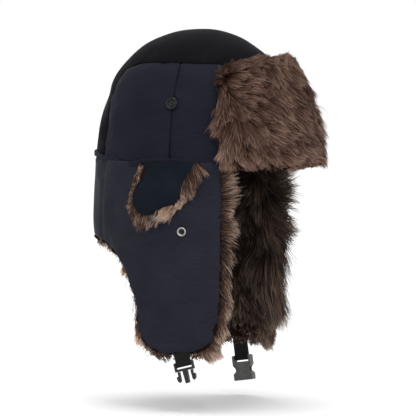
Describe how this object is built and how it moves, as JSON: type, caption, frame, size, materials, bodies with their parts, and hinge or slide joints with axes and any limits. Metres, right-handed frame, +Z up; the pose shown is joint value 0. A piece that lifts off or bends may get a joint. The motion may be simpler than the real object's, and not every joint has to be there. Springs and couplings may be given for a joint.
{
  "type": "trapper hat",
  "caption": "Padded winter hat with a folded-up fur visor, fur-lined ear flaps with flip-open ear covers, a neck curtain, snap fasteners and a side-release chin buckle.",
  "frame": {"origin": "centre of the head opening, level with the lower edge of the crown", "axes": "+Z up towards the top of the crown, -Y towards the front (visor), +X towards the wearer's left"},
  "size_m": [0.2104, 0.2369, 0.3616],
  "materials": {
    "navy_fabric": "fine-ribbed water-repellent nylon, dark navy, low sheen",
    "brown_fur": "long-pile imitation fur, mid brown with pale tips and dark roots",
    "quilted_lining": "smooth diamond-quilted lining, near black",
    "padding_fill": "white polyester wadding, hidden",
    "black_metal": "black enamelled pressed metal, glossy",
    "bright_metal": "plated pressed metal",
    "webbing": "flat woven nylon webbing, black",
    "buckle_plastic": "satin moulded acetal, dark grey"
  },
  "bodies": {
    "root": {"crown_center_panel": "navy_fabric", "crown_side_front_left": "navy_fabric", "crown_side_front_right": "navy_fabric", "crown_side_rear_left": "navy_fabric", "crown_side_rear_right": "navy_fabric", "crown_padding_front_left": "padding_fill", "crown_padding_front_right": "padding_fill", "crown_padding_side_left": "padding_fill", "crown_padding_side_right": "padding_fill", "crown_padding_rear_left": "padding_fill", "crown_padding_rear_right": "padding_fill", "crown_padding_upper_front_left": "padding_fill", "crown_padding_upper_front_right": "padding_fill", "crown_padding_upper_rear_left": "padding_fill", "crown_padding_upper_rear_right": "padding_fill", "crown_padding_top": "padding_fill", "crown_lining": "quilted_lining", "sweatband": "quilted_lining", "hem_band": "navy_fabric", "crown_snap_socket_left": "black_metal", "crown_snap_socket_right": "black_metal", "crown_snap_post_left": "black_metal", "crown_snap_post_right": "black_metal", "neck_shell": "navy_fabric", "neck_padding": "padding_fill", "neck_fur": "brown_fur"},
    "visor": {"visor_shell": "navy_fabric", "visor_stiffener": "padding_fill", "visor_fur": "brown_fur"},
    "ear_flap_left": {"ear_flap_shell_left": "navy_fabric", "ear_flap_padding_left": "padding_fill", "ear_flap_fur_left": "brown_fur", "flap_snap_socket_left": "bright_metal", "flap_snap_post_left": "bright_metal", "cover_snap_socket_left": "bright_metal", "cover_snap_post_left": "bright_metal", "strap_anchor_left": "webbing"},
    "ear_cover_left": {"ear_cover_shell_left": "navy_fabric", "ear_cover_fur_left": "brown_fur", "cover_snap_cap_left": "bright_metal", "cover_snap_stud_left": "bright_metal"},
    "strap_left": {"strap_webbing_left": "webbing"},
    "ear_flap_right": {"ear_flap_shell_right": "navy_fabric", "ear_flap_padding_right": "padding_fill", "ear_flap_fur_right": "brown_fur", "flap_snap_socket_right": "bright_metal", "flap_snap_post_right": "bright_metal", "cover_snap_socket_right": "bright_metal", "cover_snap_post_right": "bright_metal", "strap_anchor_right": "webbing"},
    "ear_cover_right": {"ear_cover_shell_right": "navy_fabric", "ear_cover_fur_right": "brown_fur", "cover_snap_cap_right": "bright_metal", "cover_snap_stud_right": "bright_metal"},
    "strap_right": {"strap_webbing_right": "webbing"},
    "buckle_socket": {"buckle_socket": "buckle_plastic"},
    "buckle_plug": {"buckle_plug": "buckle_plastic"},
    "buckle_latch_front": {"buckle_latch_front": "buckle_plastic"},
    "buckle_latch_rear": {"buckle_latch_rear": "buckle_plastic"}
  },
  "joints": [
    {"name": "visor_fold", "type": "hinge", "parent": "root", "child": "visor", "pos_m": [0, -0.1092, -0.002], "axis": [1, 0, 0], "range_deg": [0, 60]},
    {"name": "ear_flap_left_fold", "type": "hinge", "parent": "root", "child": "ear_flap_left", "pos_m": [0.097, 0, -0.0065], "axis": [0, -1, 0], "range_deg": [0, 145]},
    {"name": "ear_cover_left_fold", "type": "hinge", "parent": "ear_flap_left", "child": "ear_cover_left", "pos_m": [0.1016, 0, -0.008], "axis": [0, 1, 0], "range_deg": [-150, 0]},
    {"name": "strap_left_swing", "type": "hinge", "parent": "ear_flap_left", "child": "strap_left", "pos_m": [0.09203, -0.00651, -0.187], "axis": [-0.0529, -0.9889, 0.1392], "range_deg": [-5, 80]},
    {"name": "buckle_socket_swing", "type": "hinge", "parent": "strap_left", "child": "buckle_socket", "pos_m": [0.0919, -0.0088, -0.20334], "axis": [-0.0529, -0.9889, 0.1392], "range_deg": [-50, 60]},
    {"name": "ear_flap_right_fold", "type": "hinge", "parent": "root", "child": "ear_flap_right", "pos_m": [-0.097, 0, -0.0065], "axis": [0, 1, 0], "range_deg": [0, 145]},
    {"name": "ear_cover_right_fold", "type": "hinge", "parent": "ear_flap_right", "child": "ear_cover_right", "pos_m": [-0.1016, 0, -0.008], "axis": [0, -1, 0], "range_deg": [-150, 0]},
    {"name": "strap_right_swing", "type": "hinge", "parent": "ear_flap_right", "child": "strap_right", "pos_m": [-0.09093, -0.0176, -0.187], "axis": [-0.14, 0.9601, -0.2419], "range_deg": [-5, 80]},
    {"name": "buckle_plug_swing", "type": "hinge", "parent": "strap_right", "child": "buckle_plug", "pos_m": [-0.09072, -0.01898, -0.19263], "axis": [-0.14, 0.9601, -0.2419], "range_deg": [-50, 60]},
    {"name": "buckle_latch_front_flex", "type": "hinge", "parent": "buckle_plug", "child": "buckle_latch_front", "pos_m": [-0.08954, -0.02709, -0.19739], "axis": [-0.9895, -0.1443, 0], "range_deg": [-6, 0], "stiffness_Nm_per_rad": 0.02},
    {"name": "buckle_latch_rear_flex", "type": "hinge", "parent": "buckle_plug", "child": "buckle_latch_rear", "pos_m": [-0.09144, -0.01404, -0.20068], "axis": [-0.9895, -0.1443, 0], "range_deg": [0, 6], "stiffness_Nm_per_rad": 0.02}
  ],
  "couplings": [
    {"joint": "buckle_latch_rear_flex", "follows": "buckle_latch_front_flex", "ratio": -1}
  ]
}
